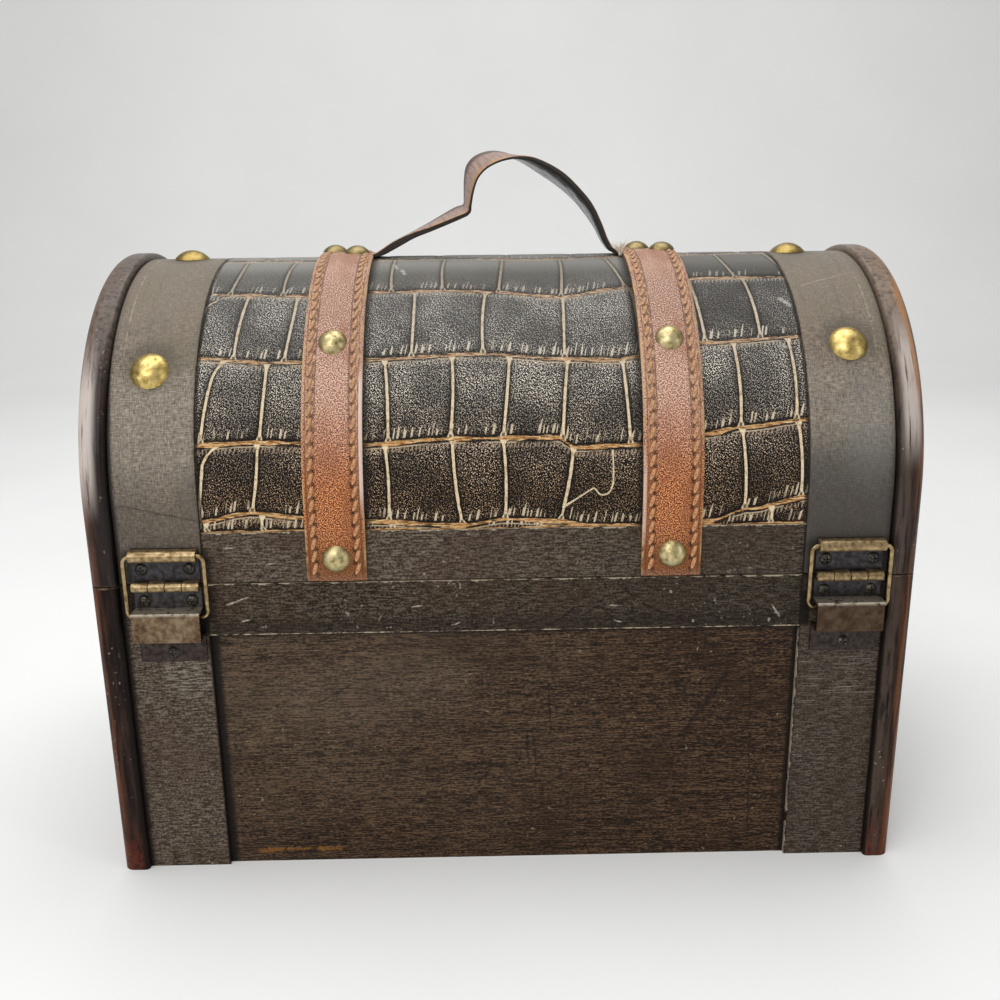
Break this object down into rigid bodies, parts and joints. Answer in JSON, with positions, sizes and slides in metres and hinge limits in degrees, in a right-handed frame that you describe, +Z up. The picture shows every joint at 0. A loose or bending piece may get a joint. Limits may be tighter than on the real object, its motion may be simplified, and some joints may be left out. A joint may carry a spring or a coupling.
{
  "type": "barrel-top treasure chest",
  "caption": "Small barrel-top chest of stained boards with an arched leather-covered lid on stay hinges, studded straps, a carry strap and a front hook latch.",
  "frame": {"origin": "centre of the underside, on the surface that the chest stands on", "axes": "+Z up, +X along the width, -Y towards the hinge side, +Y towards the latch side"},
  "size_m": [0.3, 0.1755, 0.2685],
  "materials": {
    "dark_board": "dark stained, brushed grain",
    "rim_wood": "dark red-brown, semi-gloss, worn edges",
    "strip_wood": "dark olive-grey paint, chipped",
    "plywood": "stained plywood",
    "band_cloth": "grey-khaki linen-textured covering",
    "embossed_leather": "reptile-embossed, tan grooves",
    "strap_leather": "reddish brown, worn edges",
    "carry_leather": "brown face, black back",
    "small_stud_brass": "dull aged brass",
    "large_stud_brass": "yellow brass",
    "dark_metal": "dark bronzed steel",
    "screw_steel": "dark pan-head screws",
    "aged_brass": "antique brass"
  },
  "bodies": {
    "base": {"base_back_board": "dark_board", "base_back_left_strip": "strip_wood", "base_back_rail": "strip_wood", "base_back_right_strip": "strip_wood", "base_bottom_board": "dark_board", "base_front_board": "dark_board", "base_front_left_strip": "strip_wood", "base_front_rail": "strip_wood", "base_front_right_strip": "strip_wood", "base_left_end_board": "rim_wood", "base_right_end_board": "rim_wood", "latch_plate": "dark_metal", "latch_plate_screws": "screw_steel", "latch_rivet": "aged_brass", "left_hinge_lower_leaf": "dark_metal", "left_hinge_lower_screws": "screw_steel", "left_hinge_pin": "aged_brass", "right_hinge_lower_leaf": "dark_metal", "right_hinge_lower_screws": "screw_steel", "right_hinge_pin": "aged_brass", "strip_brads": "screw_steel"},
    "lid": {"carry_strap": "carry_leather", "keeper_knob": "aged_brass", "keeper_plate": "dark_metal", "keeper_screws": "screw_steel", "left_band_stud_back": "large_stud_brass", "left_band_stud_front": "large_stud_brass", "left_band_stud_top": "large_stud_brass", "left_hinge_upper_leaf": "dark_metal", "left_hinge_upper_screws": "screw_steel", "left_strap_stud_back_high": "small_stud_brass", "left_strap_stud_back_low": "small_stud_brass", "left_strap_stud_front_high": "small_stud_brass", "left_strap_stud_front_low": "small_stud_brass", "left_strap_stud_top_inner": "small_stud_brass", "left_strap_stud_top_outer": "small_stud_brass", "lid_back_rail": "strip_wood", "lid_front_rail": "strip_wood", "lid_leather_panel": "embossed_leather", "lid_left_band": "band_cloth", "lid_left_end_board": "rim_wood", "lid_left_strap": "strap_leather", "lid_right_band": "band_cloth", "lid_right_end_board": "rim_wood", "lid_right_strap": "strap_leather", "lid_shell": "plywood", "right_band_stud_back": "large_stud_brass", "right_band_stud_front": "large_stud_brass", "right_band_stud_top": "large_stud_brass", "right_hinge_upper_leaf": "dark_metal", "right_hinge_upper_screws": "screw_steel", "right_strap_stud_back_high": "small_stud_brass", "right_strap_stud_back_low": "small_stud_brass", "right_strap_stud_front_high": "small_stud_brass", "right_strap_stud_front_low": "small_stud_brass", "right_strap_stud_top_inner": "small_stud_brass", "right_strap_stud_top_outer": "small_stud_brass"},
    "left_stay_loop": {"left_stay_loop": "aged_brass"},
    "right_stay_loop": {"right_stay_loop": "aged_brass"},
    "latch_hook": {"latch_hook": "aged_brass"}
  },
  "joints": [
    {"name": "lid_hinge", "type": "hinge", "parent": "base", "child": "lid", "pos_m": [0, -0.084, 0.1178], "axis": [1, 0, 0], "range_deg": [0, 80]},
    {"name": "left_stay_pivot", "type": "hinge", "parent": "lid", "child": "left_stay_loop", "pos_m": [-0.1224, -0.084, 0.1295], "axis": [1, 0, 0], "range_deg": [-48, 0]},
    {"name": "right_stay_pivot", "type": "hinge", "parent": "lid", "child": "right_stay_loop", "pos_m": [0.1253, -0.084, 0.1295], "axis": [1, 0, 0], "range_deg": [-48, 0]},
    {"name": "latch_swing", "type": "hinge", "parent": "base", "child": "latch_hook", "pos_m": [0, 0.0852, 0.1078], "axis": [0, 1, 0], "range_deg": [0, 180]}
  ],
  "couplings": [
    {"joint": "left_stay_pivot", "follows": "lid_hinge", "ratio": -0.6},
    {"joint": "right_stay_pivot", "follows": "lid_hinge", "ratio": -0.6}
  ]
}
